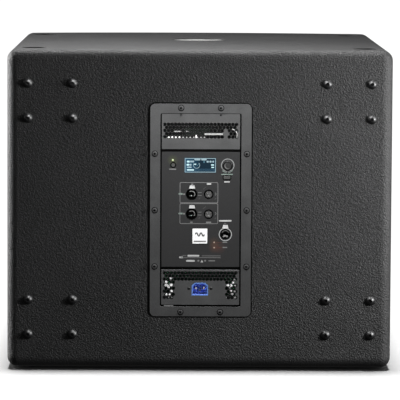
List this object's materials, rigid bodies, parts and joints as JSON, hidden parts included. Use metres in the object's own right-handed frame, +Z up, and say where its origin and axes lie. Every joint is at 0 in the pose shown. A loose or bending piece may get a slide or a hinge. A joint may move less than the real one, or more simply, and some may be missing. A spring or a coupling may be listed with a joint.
{
  "type": "powered subwoofer loudspeaker",
  "caption": "Bow-fronted plywood subwoofer with a steel grille, woofer, corner ports, side handles, pole plate, and a powered amplifier panel with sockets and a display in its rear.",
  "frame": {"origin": "middle of the bounding box at floor level, on the soles of the rubber feet", "axes": "+X to the right seen from behind, +Y from the amplifier panel towards the grille, +Z up"},
  "size_m": [0.69, 0.7519, 0.5765],
  "materials": {
    "black_coating": "hard rough textured paint over plywood",
    "bare_plywood": "unfinished birch plywood",
    "black_plastic": "satin moulded plastic",
    "grille_steel": "black powder coat on perforated sheet",
    "foam": "open acoustic foam",
    "rubber": "matt black rubber",
    "zinc_steel": "zinc plated",
    "black_steel": "black oxide fasteners",
    "cast_frame": "black painted casting",
    "motor_steel": "plated steel plates",
    "ferrite": "ferrite ring",
    "cone_paper": "coated paper",
    "coil": "copper winding on a former",
    "spider_cloth": "resin treated cloth",
    "cable": "black cable jacket",
    "amp_panel_grey": "satin dark grey paint",
    "heatsink_aluminium": "extruded",
    "circuit_board": "green solder mask",
    "fan_plastic": "black moulded fan",
    "inlet_blue": "blue moulding",
    "contacts": "plated contacts",
    "white_plastic": "white push tabs",
    "ring_grey": "light grey ring",
    "metal_shaft": "turned steel",
    "knob_black": "dark satin knob",
    "button_grey": "grey keys",
    "display_glass": "blue liquid crystal display behind a clear window",
    "led_lens": "clear indicator lenses"
  },
  "bodies": {
    "cabinet": {"top_panel": "black_coating", "bottom_panel": "black_coating", "left_side_panel": "black_coating", "right_side_panel": "black_coating", "rear_panel": "black_coating", "front_baffle": "bare_plywood", "window_brace": "bare_plywood", "port_tubes": "black_plastic", "grille": "grille_steel", "grille_foam": "foam", "grille_blocks": "bare_plywood", "grille_screws": "grille_steel", "rubber_feet": "rubber", "pole_plate": "zinc_steel", "wood_screws": "black_steel", "caster_bolts": "black_steel", "caster_t_nuts": "zinc_steel", "left_handle": "black_plastic", "right_handle": "black_plastic", "handle_grips": "rubber", "woofer_gasket": "rubber", "woofer_basket": "cast_frame", "woofer_surround": "rubber", "spider": "spider_cloth", "motor_top_plate": "motor_steel", "motor_magnet": "ferrite", "motor_back_plate": "motor_steel", "woofer_bolts": "black_steel", "speaker_cable": "cable", "amp_frame": "amp_panel_grey", "amp_gasket": "rubber", "amp_screws": "black_steel", "top_vent_plate": "amp_panel_grey", "control_plate": "amp_panel_grey", "inlet_plate": "amp_panel_grey", "amp_chassis": "zinc_steel", "heatsink": "heatsink_aluminium", "amp_board": "circuit_board", "control_board": "circuit_board", "fan_frame": "black_plastic", "ac_inlet": "inlet_blue", "inlet_screws": "black_steel", "connector_pins": "contacts", "combo_jacks": "black_plastic", "xlr_outputs": "black_plastic", "network_port": "ring_grey", "encoder_ring": "ring_grey", "display_module": "display_glass", "indicator_leds": "led_lens"},
    "cone_assembly": {"woofer_cone": "cone_paper", "dust_cap": "cone_paper", "voice_coil": "coil"},
    "fan_rotor": {"fan_rotor": "fan_plastic"},
    "encoder_stem": {"encoder_shaft": "metal_shaft"},
    "encoder_dial": {"encoder_knob": "knob_black"},
    "back_key": {"back_button": "button_grey"},
    "power_key": {"power_button": "button_grey"},
    "combo_tab_a": {"combo_latch_a": "white_plastic"},
    "combo_tab_b": {"combo_latch_b": "white_plastic"},
    "network_tab": {"network_latch": "white_plastic"}
  },
  "joints": [
    {"name": "cone_travel", "type": "slide", "parent": "cabinet", "child": "cone_assembly", "axis": [0, 1, 0], "range_m": [-0.012, 0.012], "stiffness_N_per_m": 8000, "deforming": ["woofer_surround", "spider"]},
    {"name": "fan_spin", "type": "hinge", "parent": "cabinet", "child": "fan_rotor", "pos_m": [0.002, -0.2835, 0.386], "axis": [0, 0, 1], "continuous": true},
    {"name": "encoder_push", "type": "slide", "parent": "cabinet", "child": "encoder_stem", "axis": [0, 1, 0], "range_m": [0, 0.0008], "stiffness_N_per_m": 2500},
    {"name": "encoder_turn", "type": "hinge", "parent": "encoder_stem", "child": "encoder_dial", "pos_m": [0.0501, -0.37, 0.3709], "axis": [0, 1, 0], "continuous": true},
    {"name": "back_press", "type": "slide", "parent": "cabinet", "child": "back_key", "axis": [0, 1, 0], "range_m": [0, 0.001], "stiffness_N_per_m": 1200},
    {"name": "power_press", "type": "slide", "parent": "cabinet", "child": "power_key", "axis": [0, 1, 0], "range_m": [0, 0.001], "stiffness_N_per_m": 1200},
    {"name": "combo_release_a", "type": "slide", "parent": "cabinet", "child": "combo_tab_a", "axis": [0, 1, 0], "range_m": [0, 0.0015], "stiffness_N_per_m": 1500},
    {"name": "combo_release_b", "type": "slide", "parent": "cabinet", "child": "combo_tab_b", "axis": [0, 1, 0], "range_m": [0, 0.0015], "stiffness_N_per_m": 1500},
    {"name": "network_release", "type": "slide", "parent": "cabinet", "child": "network_tab", "axis": [0, 1, 0], "range_m": [0, 0.0015], "stiffness_N_per_m": 1500}
  ]
}
